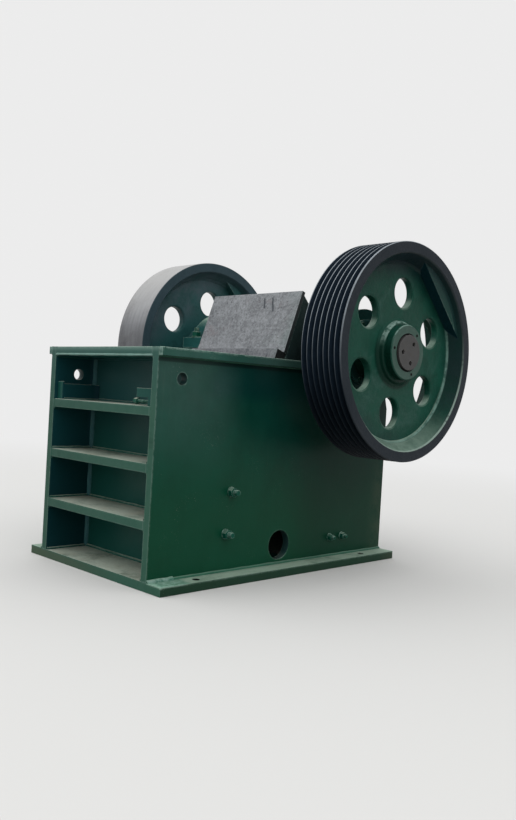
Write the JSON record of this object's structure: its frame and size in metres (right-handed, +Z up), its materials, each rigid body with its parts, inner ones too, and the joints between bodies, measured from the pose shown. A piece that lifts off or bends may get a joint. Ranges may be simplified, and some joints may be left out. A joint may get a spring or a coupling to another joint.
{
  "type": "jaw crusher",
  "caption": "Single-toggle jaw crusher with a welded ribbed frame, grooved belt sheave, plain flywheel and a swinging toothed jaw.",
  "frame": {"origin": "centre of the four foundation bolt holes at the underside of the base plate", "axes": "+X across the machine to the sheave side, -Y the ribbed front, +Y the rear, +Z up"},
  "size_m": [1.92, 1.983, 1.863],
  "materials": {
    "green_paint": "dusty green machine paint on welded plate",
    "wheel_casting": "green painted casting with a dark machined rim",
    "wear_steel": "rough cast wear steel",
    "plain_steel": "plain turned steel",
    "guard_steel": "bare rolled plate, scratched",
    "dark_steel": "dark oiled steel"
  },
  "bodies": {
    "frame": {"base_plate": "green_paint", "side_plate_right": "green_paint", "side_plate_left": "green_paint", "front_wall": "green_paint", "front_top_beam": "green_paint", "front_rib_upper": "green_paint", "front_rib_middle": "green_paint", "front_rib_lower": "green_paint", "top_flange_right": "green_paint", "top_flange_left": "green_paint", "clamp_bar_right": "green_paint", "clamp_bar_left": "green_paint", "clamp_bolt_right": "plain_steel", "fixed_jaw_plate": "wear_steel", "cheek_plates_right": "wear_steel", "cheek_plates_left": "wear_steel", "cheek_bolts_right": "plain_steel", "cheek_bolts_left": "plain_steel", "rear_wall": "green_paint", "rear_ribs": "green_paint", "adjusting_guides": "green_paint", "adjusting_block": "wear_steel", "adjusting_shims": "plain_steel", "toggle_plate": "wear_steel", "rear_bolts_right": "plain_steel", "rear_bolts_left": "plain_steel", "bearing_seat_right": "green_paint", "bearing_seat_left": "green_paint", "bearing_housing_right": "green_paint", "bearing_housing_left": "green_paint", "bearing_cap_right": "green_paint", "bearing_cap_left": "green_paint", "bearing_cover_right": "green_paint", "bearing_cover_left": "green_paint"},
    "rotor": {"eccentric_shaft": "plain_steel", "sheave": "wheel_casting", "flywheel": "wheel_casting", "shaft_disc_right": "dark_steel", "shaft_disc_left": "dark_steel"},
    "swing_jaw": {"tension_spring": "dark_steel", "movable_jaw": "green_paint", "movable_jaw_plate": "wear_steel", "jaw_guard_plate": "guard_steel", "tension_rod": "plain_steel"}
  },
  "joints": [
    {"name": "rotor_spin", "type": "hinge", "parent": "frame", "child": "rotor", "pos_m": [0, 0.457, 1.255], "axis": [1, 0, 0], "continuous": true},
    {"name": "jaw_swing", "type": "hinge", "parent": "frame", "child": "swing_jaw", "pos_m": [0, 0.457, 1.255], "axis": [1, 0, 0], "range_deg": [-0.7, 0]}
  ]
}
